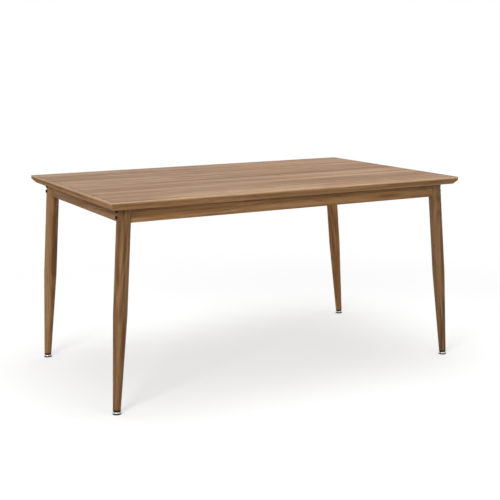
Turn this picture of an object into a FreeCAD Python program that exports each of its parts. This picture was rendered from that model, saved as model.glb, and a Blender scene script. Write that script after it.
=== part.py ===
import FreeCAD, Part
import math
import os
import Sketcher

Vector = FreeCAD.Vector

# A dining table: one bevelled board on a frame of steel tube. Each short rail is welded between two
# round tapered legs, the two long rails are bolted between those ends, and a levelling foot screws
# into a plug at the bottom of every leg. Lengths are millimetres, +Z is up, +X runs along the length,
# and the origin is on the floor under the middle of the table.

# Driving sizes
SIZES = [
    # the board
    ("top_length", 1400),
    ("top_width", 900),
    ("table_height", 725),
    ("top_thickness", 28),
    ("edge_band", 12),
    ("bevel_inset", 14),
    ("corner_radius", 2.5),
    ("arris_radius", 1),
    # the rails, of rectangular tube
    ("rail_height", 50),
    ("rail_depth", 25),
    ("rail_wall", 1.5),
    ("rail_corner_radius", 2),
    # the legs, of round tube that is straight above and tapers to the floor
    ("leg_diameter", 48),
    ("leg_tip_diameter", 27),
    ("leg_wall", 1.5),
    ("taper_height", 340),
    ("leg_set_in", 66),
    ("leg_splay_x", 59),
    ("leg_splay_y", 8),
    # the cap in the top of each leg
    ("cap_flange", 3),
    ("cap_spigot", 16),
    ("cap_fit", 0.3),
    # the two bolts through each leg into the end of a long rail
    ("bolt_diameter", 8),
    ("bolt_length", 65),
    ("bolt_head_diameter", 13),
    ("bolt_head_height", 3.5),
    ("bolt_head_edge", 1.5),
    ("bolt_socket_flats", 5),
    ("bolt_socket_depth", 2.6),
    ("bolt_hole_clearance", 0.2),
    ("bolt_seat_gap", 0.1),
    ("bolt_drop", 6),
    ("bolt_spacing", 20),
    ("nut_block_thickness", 12),
    ("nut_block_inset", 3),
    ("nut_block_fit", 0.2),
    # the tabs that the board is screwed down on
    ("tab_thickness", 3),
    ("tab_length", 40),
    ("tab_reach", 28),
    ("tab_hole_diameter", 5.6),
    ("tab_hole_reach", 16),
    ("tab_corner_radius", 5),
    ("long_tab_spread", 450),
    ("short_tab_spread", 200),
    # the screws up into the board
    ("screw_diameter", 4.8),
    ("screw_grip", 20),
    ("screw_head_diameter", 9.5),
    ("screw_head_height", 3),
    ("pilot_clearance", 0.1),
    ("pilot_spare_depth", 2),
    # the levelling foot, from the floor up
    ("sole_drop", 4),
    ("sole_edge", 0.5),
    ("cup_height", 6),
    ("foot_gap", 2),
    ("plug_flange", 2.5),
    ("plug_depth", 22),
    ("plug_fit", 0.25),
    ("cup_diameter", 31),
    ("cup_side", 2),
    ("cup_crown_diameter", 17),
    ("cup_wall", 1.2),
    ("sole_fit", 0.2),
    ("stud_diameter", 8),
    ("stud_top", 40),
    ("stud_rivet_diameter", 13),
    ("stud_rivet_height", 1.5),
    ("rivet_fit", 0.2),
    ("thread_clearance", 0.1),
    ("foot_nut_flats", 13),
    ("foot_nut_height", 6.5),
    ("foot_nut_seat", 4),
    ("foot_nut_fit", 0.1),
    ("plug_bore_clearance", 0.4),
    # what a cut runs past the face that it opens, and the fit of coped ends on a leg
    ("cut_overrun", 6),
    ("cope_gap", 0.1),
]

# Two places closer than this are the same place
SAME_PLACE = 0.0001

CORNERS = {
    "front_left": (-1, -1),
    "front_right": (1, -1),
    "back_left": (-1, 1),
    "back_right": (1, 1),
}
LONG_SIDES = {"front": -1, "back": 1}
SHORT_SIDES = {"left": -1, "right": 1}

doc = FreeCAD.newDocument("dining_table")
sheet = doc.addObject("Spreadsheet::Sheet", "Sizes")
nodes = []


class Size:
    """A length worked out from the sheet: its value now, and the formula that keeps it so."""

    def __init__(self, value, formula):
        self.value = float(value)
        self.formula = formula

    def joined(self, other, sign, value):
        return Size(value, "(%s %s %s)" % (self.formula, sign, other.formula))

    def __add__(self, other):
        other = as_size(other)
        return self.joined(other, "+", self.value + other.value)

    def __radd__(self, other):
        return as_size(other) + self

    def __sub__(self, other):
        other = as_size(other)
        return self.joined(other, "-", self.value - other.value)

    def __mul__(self, other):
        other = as_size(other)
        return self.joined(other, "*", self.value * other.value)

    def __rmul__(self, other):
        return as_size(other) * self

    def __truediv__(self, other):
        other = as_size(other)
        return self.joined(other, "/", self.value / other.value)

    def __neg__(self):
        return as_size(-1) * self


def as_size(number):
    """A plain count or sign as a Size, so that it can stand in a formula."""
    if isinstance(number, Size):
        return number
    return Size(number, "(%s)" % number)


def root(square):
    """The side of a square, such as the slant of a leg from its runs and its rise."""
    return Size(math.sqrt(square.value), "sqrt(%s)" % square.formula)


def read_sheet():
    """Fill the sheet and give each alias back as a Size."""
    sizes = {}
    for row, (alias, value) in enumerate(SIZES, start=1):
        sheet.set("A%d" % row, alias)
        sheet.set("B%d" % row, str(value))
        sheet.setAlias("B%d" % row, alias)
        sizes[alias] = Size(value, "Sizes.%s" % alias)
    doc.recompute()
    return sizes


given = read_sheet()
ZERO = as_size(0)

# Levels and places that several pieces share
leg_top_x = given["top_length"] / 2 - given["leg_set_in"]
leg_top_y = given["top_width"] / 2 - given["leg_set_in"]
leg_end_x = leg_top_x + given["leg_splay_x"]
leg_end_y = leg_top_y + given["leg_splay_y"]
underside = given["table_height"] - given["top_thickness"]
rail_middle = underside - given["rail_height"] / 2
lower_bolt_level = rail_middle - given["bolt_drop"]
BOLT_LEVELS = {"lower": lower_bolt_level, "upper": lower_bolt_level + given["bolt_spacing"]}
leg_top = underside - given["cap_flange"]
leg_end = given["sole_drop"] + given["cup_height"] + given["foot_gap"] + given["plug_flange"]
leg_radius = given["leg_diameter"] / 2
tip_radius = given["leg_tip_diameter"] / 2

# The leg's axis runs from its end up to the underside, in by its two splays
lean_run_x = given["leg_splay_x"]
lean_run_y = given["leg_splay_y"]
lean_rise = underside - leg_end
leg_slant = root(lean_run_x * lean_run_x + lean_run_y * lean_run_y + lean_rise * lean_rise)
slant_per_rise = leg_slant / lean_rise
lean_slope_x = lean_run_x / lean_rise
taper_slant = (given["taper_height"] - leg_end) * slant_per_rise
taper_slope = (leg_radius - tip_radius) / taper_slant
rail_end_x = leg_top_x + lean_slope_x * given["rail_height"] / 2
rail_line_y = leg_top_y + lean_run_y / lean_rise * given["rail_height"] / 2


def bind(thing, sizes):
    """Tie an object's properties to the sheet."""
    for name, size in sizes.items():
        thing.setExpression(name, as_size(size).formula)


def put_at(thing, x, y, z):
    """Tie an object's position to the sheet and leave its rotation alone."""
    thing.Placement.Base = Vector(as_size(x).value, as_size(y).value, as_size(z).value)
    bind(thing, {"Placement.Base.x": x, "Placement.Base.y": y, "Placement.Base.z": z})


def primitive(kind, name, **sizes):
    """A Part primitive whose sizes follow the sheet."""
    thing = doc.addObject("Part::" + kind, name)
    bind(thing, sizes)
    return thing


def combine(kind, name, base, tool):
    """Cut one object with another, or keep what they share."""
    result = doc.addObject("Part::" + kind, name)
    result.Base = base
    result.Tool = tool
    return result


def fuse(name, pieces):
    result = doc.addObject("Part::MultiFuse", name)
    result.Shapes = pieces
    return result


def keep(thing, label):
    """Name an object as one node of the part."""
    thing.Label = label
    nodes.append(thing)
    return thing


def keep_group(pieces, label):
    """Name several like solids as one node."""
    group = doc.addObject("Part::Compound", label + "_group")
    group.Links = pieces
    return keep(group, label)


def origin_plane(body, role):
    return [plane for plane in body.Origin.OriginFeatures if plane.Role == role][0]


def attach(body, sketch, role):
    sketch.AttachmentSupport = [(origin_plane(body, role), "")]
    sketch.MapMode = "FlatFace"


def pin_point(sketch, line, end, x, y):
    """Hold one end of a line, or the centre of a circle, at two sizes from the sketch's origin."""
    for axis, size, other_axis in (("X", x, -2), ("Y", y, -1)):
        if size.value == 0:
            sketch.addConstraint(Sketcher.Constraint("PointOnObject", line, end, other_axis))
            continue
        place = sketch.addConstraint(Sketcher.Constraint("Distance" + axis, -1, 1, line, end, size.value))
        sketch.setExpression("Constraints[%d]" % place, size.formula)


def outline(body, name, role, *loops):
    """A sketch of closed loops of straight lines, each corner given by two sizes."""
    sketch = body.newObject("Sketcher::SketchObject", name)
    attach(body, sketch, role)
    for loop in loops:
        points = [(as_size(x), as_size(y)) for x, y in loop]
        first = sketch.GeometryCount
        for (x1, y1), (x2, y2) in zip(points, points[1:] + points[:1]):
            sketch.addGeometry(Part.LineSegment(Vector(x1.value, y1.value, 0), Vector(x2.value, y2.value, 0)))
        for index, (x, y) in enumerate(points):
            following = first + (index + 1) % len(points)
            sketch.addConstraint(Sketcher.Constraint("Coincident", first + index, 2, following, 1))
            pin_point(sketch, first + index, 1, x, y)
    return sketch


def rectangle(length, width, middle_x=ZERO, middle_y=ZERO):
    """The four corners of a rectangle about a middle."""
    half_length = length / 2
    half_width = width / 2
    return [
        (middle_x - half_length, middle_y - half_width),
        (middle_x + half_length, middle_y - half_width),
        (middle_x + half_length, middle_y + half_width),
        (middle_x - half_length, middle_y + half_width),
    ]


def circles(body, name, role, radius, centres):
    """A sketch of equal circles."""
    sketch = body.newObject("Sketcher::SketchObject", name)
    attach(body, sketch, role)
    for x, y in centres:
        centre = Vector(as_size(x).value, as_size(y).value, 0)
        circle = sketch.addGeometry(Part.Circle(centre, Vector(0, 0, 1), radius.value))
        size = sketch.addConstraint(Sketcher.Constraint("Radius", circle, radius.value))
        sketch.setExpression("Constraints[%d]" % size, radius.formula)
        pin_point(sketch, circle, 3, as_size(x), as_size(y))
    return sketch


def hexagon(body, name, role, flats):
    """A sketch of a hexagon about the origin, for a key or a nut."""
    corner = flats / root(as_size(3))
    half_flats = flats / 2
    half_corner = corner / 2
    points = [
        (corner, ZERO),
        (half_corner, half_flats),
        (-half_corner, half_flats),
        (-corner, ZERO),
        (-half_corner, -half_flats),
        (half_corner, -half_flats),
    ]
    return outline(body, name, role, points)


def pad(body, sketch, length, both_ways=False):
    feature = body.newObject("PartDesign::Pad", sketch.Name + "_pad")
    feature.Profile = sketch
    if both_ways:
        feature.SideType = "Symmetric"
    bind(feature, {"Length": length})
    return feature


def pocket(body, sketch, depth, reversed_way=False, both_ways=False):
    """Cut a sketch into the body, and stop if nothing was cut."""
    doc.recompute()
    before = body.Shape.Volume
    feature = body.newObject("PartDesign::Pocket", sketch.Name + "_pocket")
    feature.Profile = sketch
    feature.Reversed = reversed_way
    if both_ways:
        feature.SideType = "Symmetric"
    bind(feature, {"Length": depth})
    doc.recompute()
    if body.Shape.Volume >= before:
        raise RuntimeError("nothing was cut by " + feature.Name)
    return feature


def revolve(body, sketch):
    """Turn a sketch once round its own upright axis."""
    feature = body.newObject("PartDesign::Revolution", sketch.Name + "_turned")
    feature.Profile = sketch
    feature.ReferenceAxis = (sketch, ["V_Axis"])
    feature.Angle = 360
    return feature


def edges_where(feature, test):
    """The names of the edges whose middle and direction pass a test."""
    doc.recompute()
    names = []
    for number, edge in enumerate(feature.Shape.Edges, start=1):
        start = edge.valueAt(edge.FirstParameter)
        end = edge.valueAt(edge.LastParameter)
        if test(edge, start, end):
            names.append("Edge%d" % number)
    return names


def round_edges(body, base, name, radius, test):
    feature = body.newObject("PartDesign::Fillet", name)
    feature.Base = (base, edges_where(base, test))
    bind(feature, {"Radius": radius})
    return feature


def new_body(name):
    return doc.addObject("PartDesign::Body", name)


def near(first, second):
    return math.isclose(first, second, abs_tol=SAME_PLACE)


# Places round the table

def corner_place(corner, x, y):
    """A point given for the back right corner, moved to any corner."""
    side_x, side_y = CORNERS[corner]
    return side_x * x, side_y * y


def lean(thing, corner, z):
    """Set an object on a leg's axis at a level, with its own Z up along that axis."""
    side_x, side_y = CORNERS[corner]
    up = Vector(-side_x * lean_run_x.value, -side_y * lean_run_y.value, lean_rise.value)
    thing.Placement.Rotation = FreeCAD.Rotation(Vector(0, 0, 1), up)
    climbed = (z - leg_end) / lean_rise
    x = leg_end_x - lean_run_x * climbed
    y = leg_end_y - lean_run_y * climbed
    put_at(thing, side_x * x, side_y * y, z)


def level_slab(name, low, high):
    """A block that reaches past all four legs, used to cut leaning pieces off level."""
    half_length = leg_end_x + given["leg_diameter"]
    half_width = leg_end_y + given["leg_diameter"]
    slab = primitive("Box", name, Length=2 * half_length, Width=2 * half_width, Height=high - low)
    put_at(slab, -half_length, -half_width, low)
    return slab


def leaning_rod(name, corner, radius, low, high):
    """A round rod on a leg's axis that runs past both levels."""
    overrun = given["cut_overrun"]
    rod = primitive("Cylinder", name, Radius=radius, Height=(high - low + 2 * overrun) * slant_per_rise)
    lean(rod, corner, low - overrun)
    return rod


# The board

def tab_places():
    """Where the tabs stand: rail name, then the middle of each tab along that rail."""
    return {
        "front": [-given["long_tab_spread"], ZERO, given["long_tab_spread"]],
        "back": [-given["long_tab_spread"], ZERO, given["long_tab_spread"]],
        "left": [-given["short_tab_spread"], given["short_tab_spread"]],
        "right": [-given["short_tab_spread"], given["short_tab_spread"]],
    }


def screw_centres():
    """The axis of every screw that holds the board, as x and y."""
    inward = given["rail_depth"] / 2 + given["tab_hole_reach"]
    centres = []
    for rail, side in LONG_SIDES.items():
        for along in tab_places()[rail]:
            centres.append((along, side * (rail_line_y - inward)))
    for rail, side in SHORT_SIDES.items():
        for along in tab_places()[rail]:
            centres.append((side * (rail_end_x - inward), along))
    return centres


def board_outline(body):
    """The board's outline, with its four corners rounded."""
    sketch = body.newObject("Sketcher::SketchObject", "board_outline")
    attach(body, sketch, "XY_Plane")
    radius = given["corner_radius"]
    half_length = given["top_length"] / 2
    half_width = given["top_width"] / 2
    straights = [
        ((radius - half_length, -half_width), (half_length - radius, -half_width)),
        ((half_length, radius - half_width), (half_length, half_width - radius)),
        ((half_length - radius, half_width), (radius - half_length, half_width)),
        ((-half_length, half_width - radius), (-half_length, radius - half_width)),
    ]
    for start, end in straights:
        first = Vector(start[0].value, start[1].value, 0)
        last = Vector(end[0].value, end[1].value, 0)
        line = sketch.addGeometry(Part.LineSegment(first, last))
        pin_point(sketch, line, 1, *start)
        pin_point(sketch, line, 2, *end)
    quarter = math.pi / 2
    for index, (start, end) in enumerate(straights):
        following = (index + 1) % len(straights)
        next_start = straights[following][0]
        centre = (end[0], next_start[1]) if index % 2 == 0 else (next_start[0], end[1])
        middle = Vector(centre[0].value, centre[1].value, 0)
        circle = Part.Circle(middle, Vector(0, 0, 1), radius.value)
        arc = sketch.addGeometry(Part.ArcOfCircle(circle, (index - 1) * quarter, index * quarter))
        sketch.addConstraint(Sketcher.Constraint("Coincident", arc, 1, index, 2))
        sketch.addConstraint(Sketcher.Constraint("Coincident", arc, 2, following, 1))
        size = sketch.addConstraint(Sketcher.Constraint("Radius", arc, radius.value))
        sketch.setExpression("Constraints[%d]" % size, radius.formula)
    return sketch


def bevel_corners(half_run):
    """Two mirrored triangles that cut the bevel, each run past the board at both ends of its slope."""
    inset = given["bevel_inset"]
    rise = given["top_thickness"] - given["edge_band"]
    inner = half_run - inset * 3 / 2
    outer = half_run + inset / 2
    low = -rise / 2
    high = rise * 3 / 2
    return [(inner, low), (outer, low), (outer, high)], [(-inner, low), (-outer, high), (-outer, low)]


def make_tabletop():
    """A thick board with an upright edge above and a bevel under it that makes it look thin."""
    body = new_body("tabletop_body")
    over = given["cut_overrun"]
    pad(body, board_outline(body), given["top_thickness"])
    long_bevels = outline(body, "long_bevels", "YZ_Plane", *bevel_corners(given["top_width"] / 2))
    pocket(body, long_bevels, given["top_length"] + 2 * over, both_ways=True)
    end_bevels = outline(body, "end_bevels", "XZ_Plane", *bevel_corners(given["top_length"] / 2))
    bevelled = pocket(body, end_bevels, given["top_width"] + 2 * over, both_ways=True)
    top_level = given["top_thickness"].value
    top_edges = round_edges(
        body, bevelled, "top_arris", given["arris_radius"],
        lambda edge, start, end: near(start.z, top_level) and near(end.z, top_level))
    body.Tip = top_edges
    pilot_radius = given["screw_diameter"] / 2 + given["pilot_clearance"]
    pilots = circles(body, "pilot_holes", "XY_Plane", pilot_radius, screw_centres())
    pocket(body, pilots, given["screw_grip"] + given["pilot_spare_depth"], reversed_way=True)
    put_at(body, ZERO, ZERO, underside)
    keep(body, "tabletop")


# The legs

def make_legs():
    """Round tubes that lean outwards, cut level at both ends and drilled for two bolts."""
    over = given["cut_overrun"]
    slab = level_slab("leg_levels", leg_end, leg_top)
    for corner in CORNERS:
        body = new_body(corner + "_leg_tube")
        wall = given["leg_wall"]
        low_radius = tip_radius - taper_slope * over
        profile = [
            (low_radius, -over),
            (leg_radius, taper_slant),
            (leg_radius, leg_slant + over),
            (leg_radius - wall, leg_slant + over),
            (leg_radius - wall, taper_slant),
            (low_radius - wall, -over),
        ]
        revolve(body, outline(body, corner + "_leg_profile", "XZ_Plane", profile))
        lean(body, corner, leg_end)
        level = combine("Common", corner + "_leg_level", body, slab)
        drills = [bolt_drill(corner, "leg", which) for which in BOLT_LEVELS]
        both_drills = fuse(corner + "_leg_drills", drills)
        drilled = combine("Cut", corner + "_leg_drilled", level, both_drills)
        keep(drilled, corner + "_leg")


def bolt_drill(corner, piece, which):
    """The hole for one of a leg's two frame bolts, right through the leg along X."""
    side_x, side_y = CORNERS[corner]
    radius = given["bolt_diameter"] / 2 + given["bolt_hole_clearance"]
    reach = given["leg_diameter"] + 2 * given["cut_overrun"]
    drill = primitive("Cylinder", "%s_%s_%s_drill" % (corner, piece, which), Radius=radius, Height=reach)
    drill.Placement.Rotation = FreeCAD.Rotation(Vector(0, 0, 1), Vector(1, 0, 0))
    level = BOLT_LEVELS[which]
    put_at(drill, side_x * bolt_axis_x(level) - reach / 2, side_y * rail_line_y, level)
    return drill


def bolt_axis_x(level):
    """How far out a leg's axis stands at a level, for the back right corner."""
    return leg_top_x + lean_slope_x * (underside - level)


def make_leg_caps():
    """A flat flange on the top of each tube, with a spigot that the upper bolt holds in place."""
    for corner in CORNERS:
        flange = primitive("Cylinder", corner + "_cap_flange", Radius=leg_radius, Height=given["cap_flange"])
        x, y = corner_place(corner, leg_top_x, leg_top_y)
        put_at(flange, x, y, leg_top)
        spigot_radius = leg_radius - given["leg_wall"] - given["cap_fit"]
        low = leg_top - given["cap_spigot"]
        rod = leaning_rod(corner + "_cap_rod", corner, spigot_radius, low, leg_top)
        slab = level_slab(corner + "_cap_levels", low, leg_top)
        spigot = combine("Common", corner + "_cap_spigot", rod, slab)
        whole = fuse(corner + "_cap_fused", [flange, spigot])
        drill = bolt_drill(corner, "cap", "upper")
        keep(combine("Cut", corner + "_cap_drilled", whole, drill), corner + "_leg_cap")


# The rails

def rail_tube(name, role, length):
    """A length of rectangular tube with rounded corners, about the middle of its run."""
    body = new_body(name + "_tube")
    outer = rectangle(given["rail_depth"], given["rail_height"])
    section = outline(body, name + "_section", role, outer)
    tube = pad(body, section, length, both_ways=True)
    half_depth = given["rail_depth"].value / 2
    half_height = given["rail_height"].value / 2

    def is_long_corner(edge, start, end):
        across = start.y if role == "YZ_Plane" else start.x
        same_height = near(start.z, end.z)
        return same_height and near(abs(across), half_depth) and near(abs(start.z), half_height) \
            and edge.Length > given["rail_height"].value

    rounded = round_edges(body, tube, name + "_corners", given["rail_corner_radius"], is_long_corner)
    body.Tip = rounded
    wall = given["rail_wall"]
    inner = rectangle(given["rail_depth"] - 2 * wall, given["rail_height"] - 2 * wall)
    bore = outline(body, name + "_bore", role, inner)
    pocket(body, bore, length + 2 * given["cut_overrun"], both_ways=True)
    return body


def cope(name, rail, corners):
    """Cut a rail's ends to the round of the legs that it meets."""
    for corner in corners:
        leg_room = leaning_rod(
            name + "_" + corner + "_room", corner, leg_radius + given["cope_gap"],
            underside - given["rail_height"], underside)
        rail = combine("Cut", name + "_" + corner + "_coped", rail, leg_room)
    return rail


def make_long_rails():
    for rail, side in LONG_SIDES.items():
        name = rail + "_rail"
        tube = rail_tube(name, "YZ_Plane", 2 * rail_end_x)
        put_at(tube, ZERO, side * rail_line_y, rail_middle)
        corners = [corner for corner in CORNERS if CORNERS[corner][1] == side]
        keep(cope(name, tube, corners), name)


def make_short_rails():
    for rail, side in SHORT_SIDES.items():
        name = rail + "_rail"
        tube = rail_tube(name, "XZ_Plane", 2 * rail_line_y)
        put_at(tube, side * rail_end_x, ZERO, rail_middle)
        corners = [corner for corner in CORNERS if CORNERS[corner][0] == side]
        keep(cope(name, tube, corners), name)


def make_nut_blocks():
    """A tapped steel block welded inside each end of the long rails, where the bolts pull."""
    fit = given["nut_block_fit"]
    wall = given["rail_wall"]
    width = given["rail_depth"] - 2 * wall - 2 * fit
    height = given["rail_height"] - 2 * wall - 2 * fit
    thickness = given["nut_block_thickness"]
    far_x = rail_end_x - leg_radius - given["nut_block_inset"]
    for rail, side in LONG_SIDES.items():
        blocks = []
        for end, end_side in SHORT_SIDES.items():
            name = rail + "_" + end + "_nut"
            block = primitive("Box", name + "_block", Length=thickness, Width=width, Height=height)
            low_x = far_x - thickness if end_side > 0 else -far_x
            put_at(block, low_x, side * rail_line_y - width / 2, rail_middle - height / 2)
            radius = given["bolt_diameter"] / 2 + given["thread_clearance"]
            reach = thickness + 2 * given["cut_overrun"]
            taps = []
            for which, level in BOLT_LEVELS.items():
                tap = primitive("Cylinder", "%s_%s_tap" % (name, which), Radius=radius, Height=reach)
                tap.Placement.Rotation = FreeCAD.Rotation(Vector(0, 0, 1), Vector(1, 0, 0))
                put_at(tap, low_x - given["cut_overrun"], side * rail_line_y, level)
                taps.append(tap)
            blocks.append(combine("Cut", name + "_tapped", block, fuse(name + "_taps", taps)))
        keep_group(blocks, rail + "_rail_nut_blocks")


# The frame bolts

def make_frame_bolts():
    """Two low-headed socket bolts through each leg, from the outside, into the end of a long rail."""
    seat = leg_radius * slant_per_rise + given["bolt_head_diameter"] / 2 * lean_slope_x + given["bolt_seat_gap"]
    shank_radius = given["bolt_diameter"] / 2
    head_radius = given["bolt_head_diameter"] / 2
    head_height = given["bolt_head_height"]
    edge = given["bolt_head_edge"]
    bolts = []
    for corner, (side_x, side_y) in CORNERS.items():
        for which, level in BOLT_LEVELS.items():
            name = "%s_%s_bolt" % (corner, which)
            body = new_body(name)
            profile = [
                (ZERO, head_height),
                (head_radius - edge, head_height),
                (head_radius, head_height - edge),
                (head_radius, ZERO),
                (shank_radius, ZERO),
                (shank_radius, -given["bolt_length"]),
                (ZERO, -given["bolt_length"]),
            ]
            revolve(body, outline(body, name + "_profile", "XZ_Plane", profile))
            socket = hexagon(body, name + "_socket", "XY_Plane", given["bolt_socket_flats"])
            socket.AttachmentOffset.Base = Vector(0, 0, head_height.value)
            bind(socket, {"AttachmentOffset.Base.z": head_height})
            pocket(body, socket, given["bolt_socket_depth"])
            body.Placement.Rotation = FreeCAD.Rotation(Vector(0, 0, 1), Vector(side_x, 0, 0))
            put_at(body, side_x * (bolt_axis_x(level) + seat), side_y * rail_line_y, level)
            bolts.append(body)
    keep_group(bolts, "frame_bolts")


# Tabs and screws under the board

def make_tab(name, along_x):
    """A flat steel tab with a screw hole, reaching along +Y, or along +X where it says so."""
    body = new_body(name)
    length = given["tab_length"]
    reach = given["tab_reach"]
    if along_x:
        plate_outline = rectangle(reach, length, reach / 2, ZERO)
        hole_centre = (given["tab_hole_reach"], ZERO)
    else:
        plate_outline = rectangle(length, reach, ZERO, reach / 2)
        hole_centre = (ZERO, given["tab_hole_reach"])
    plate = pad(body, outline(body, name + "_plate", "XY_Plane", plate_outline), given["tab_thickness"])

    def is_outer_corner(edge, start, end):
        outward = start.x if along_x else start.y
        return not near(start.z, end.z) and near(outward, reach.value)

    rounded = round_edges(body, plate, name + "_corners", given["tab_corner_radius"], is_outer_corner)
    body.Tip = rounded
    hole = circles(body, name + "_hole", "XY_Plane", given["tab_hole_diameter"] / 2, [hole_centre])
    pocket(body, hole, given["tab_thickness"], reversed_way=True)
    return body


def make_tabs():
    """Tabs welded to the inner face of every rail, level with its top."""
    half_depth = given["rail_depth"] / 2
    level = underside - given["tab_thickness"]
    for rail, side in {**LONG_SIDES, **SHORT_SIDES}.items():
        is_short = rail in SHORT_SIDES
        tabs = []
        for number, along in enumerate(tab_places()[rail], start=1):
            tab = make_tab("%s_rail_tab_%d" % (rail, number), is_short)
            if side > 0:
                tab.Placement.Rotation = FreeCAD.Rotation(Vector(0, 0, 1), 180)
            if is_short:
                put_at(tab, side * (rail_end_x - half_depth), along, level)
            else:
                put_at(tab, along, side * (rail_line_y - half_depth), level)
            tabs.append(tab)
        keep_group(tabs, rail + "_rail_tabs")


def make_tabletop_screws():
    """A pan-headed screw up through each tab into the board."""
    screws = []
    level = underside - given["tab_thickness"]
    shank_radius = given["screw_diameter"] / 2
    head_radius = given["screw_head_diameter"] / 2
    length = given["tab_thickness"] + given["screw_grip"]
    for number, (x, y) in enumerate(screw_centres(), start=1):
        name = "top_screw_%d" % number
        body = new_body(name)
        profile = [
            (ZERO, -given["screw_head_height"]),
            (head_radius, -given["screw_head_height"]),
            (head_radius, ZERO),
            (shank_radius, ZERO),
            (shank_radius, length),
            (ZERO, length),
        ]
        revolve(body, outline(body, name + "_profile", "XZ_Plane", profile))
        put_at(body, x, y, level)
        screws.append(body)
    keep_group(screws, "tabletop_screws")


# The levelling feet

plug_bottom = leg_end - given["plug_flange"]
cup_top = given["sole_drop"] + given["cup_height"]
nut_level = leg_end + given["foot_nut_seat"]
foot_axis = (leg_end_x, leg_end_y)


def upright_rod(name, corner, radius, low, high):
    rod = primitive("Cylinder", name, Radius=radius, Height=high - low)
    x, y = corner_place(corner, *foot_axis)
    put_at(rod, x, y, low)
    return rod


def upright_hexagon(name, corner, flats, low, high):
    prism = primitive("Prism", name, Circumradius=flats / root(as_size(3)), Height=high - low)
    prism.Polygon = 6
    x, y = corner_place(corner, *foot_axis)
    put_at(prism, x, y, low)
    return prism


def make_foot_plugs():
    """A plug that fills the end of each leg, with an upright bore and a pocket for its nut."""
    fit = given["plug_fit"]
    over = given["cut_overrun"]
    top = leg_end + given["plug_depth"]
    for corner in CORNERS:
        name = corner + "_plug"
        flange = upright_rod(name + "_flange", corner, tip_radius, plug_bottom, leg_end)
        inner_radius = tip_radius - given["leg_wall"] - fit
        rod = leaning_rod(name + "_rod", corner, inner_radius, leg_end, top)
        filling = combine("Common", name + "_filling", rod, level_slab(name + "_levels", leg_end, top))
        solid = fuse(name + "_solid", [flange, filling])
        bore_radius = given["stud_diameter"] / 2 + given["plug_bore_clearance"]
        bore = upright_rod(name + "_bore", corner, bore_radius, plug_bottom - over, top + over)
        room_flats = given["foot_nut_flats"] + 2 * given["foot_nut_fit"]
        nut_room = upright_hexagon(name + "_nut_room", corner, room_flats, nut_level, top + over)
        hollow = fuse(name + "_hollow", [bore, nut_room])
        keep(combine("Cut", name + "_drilled", solid, hollow), corner + "_foot_plug")


def make_foot_nuts():
    """A hexagon nut held in each plug, which the stud runs in."""
    nuts = []
    top = nut_level + given["foot_nut_height"]
    over = given["cut_overrun"]
    for corner in CORNERS:
        name = corner + "_foot_nut"
        prism = upright_hexagon(name + "_blank", corner, given["foot_nut_flats"], nut_level, top)
        radius = given["stud_diameter"] / 2 + given["thread_clearance"]
        thread = upright_rod(name + "_thread", corner, radius, nut_level - over, top + over)
        nuts.append(combine("Cut", name + "_threaded", prism, thread))
    keep_group(nuts, "foot_nuts")


def make_foot_studs():
    """A threaded stud with a flat rivet head that is held inside the cup."""
    radius = given["stud_diameter"] / 2
    rivet_top = cup_top - given["cup_wall"] - given["rivet_fit"]
    rivet_low = rivet_top - given["stud_rivet_height"]
    rivet_radius = given["stud_rivet_diameter"] / 2
    for corner in CORNERS:
        body = new_body(corner + "_stud_body")
        profile = [
            (ZERO, rivet_low),
            (rivet_radius, rivet_low),
            (rivet_radius, rivet_top),
            (radius, rivet_top),
            (radius, given["stud_top"]),
            (ZERO, given["stud_top"]),
        ]
        revolve(body, outline(body, corner + "_stud_profile", "XZ_Plane", profile))
        x, y = corner_place(corner, *foot_axis)
        put_at(body, x, y, ZERO)
        keep(body, corner + "_foot_stud")


def make_foot_cups():
    """A pressed cup with a sloping shoulder, open below."""
    radius = given["cup_diameter"] / 2
    crown_radius = given["cup_crown_diameter"] / 2
    wall = given["cup_wall"]
    low = given["sole_drop"]
    shoulder = low + given["cup_side"]
    hole_radius = given["stud_diameter"] / 2 + given["thread_clearance"]
    for corner in CORNERS:
        body = new_body(corner + "_cup_body")
        profile = [
            (hole_radius, cup_top),
            (crown_radius, cup_top),
            (radius, shoulder),
            (radius, low),
            (radius - wall, low),
            (radius - wall, shoulder - wall / 2),
            (crown_radius - wall / 2, cup_top - wall),
            (hole_radius, cup_top - wall),
        ]
        revolve(body, outline(body, corner + "_cup_profile", "XZ_Plane", profile))
        x, y = corner_place(corner, *foot_axis)
        put_at(body, x, y, ZERO)
        keep(body, corner + "_foot_cup")


def make_foot_soles():
    """A hard plastic sole, nearly as wide as the cup, with a plug pressed up into the cup."""
    wall = given["cup_wall"]
    fit = given["sole_fit"]
    plug_radius = given["cup_diameter"] / 2 - wall - fit
    plug_top = given["sole_drop"] + given["cup_side"] - wall / 2 - fit
    sole_radius = given["cup_diameter"] / 2 - given["sole_edge"]
    sole_top = given["sole_drop"] - fit
    for corner in CORNERS:
        body = new_body(corner + "_sole_body")
        profile = [
            (ZERO, ZERO),
            (sole_radius, ZERO),
            (sole_radius, sole_top),
            (plug_radius, sole_top),
            (plug_radius, plug_top),
            (ZERO, plug_top),
        ]
        revolve(body, outline(body, corner + "_sole_profile", "XZ_Plane", profile))
        x, y = corner_place(corner, *foot_axis)
        put_at(body, x, y, ZERO)
        keep(body, corner + "_foot_sole")


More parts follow.
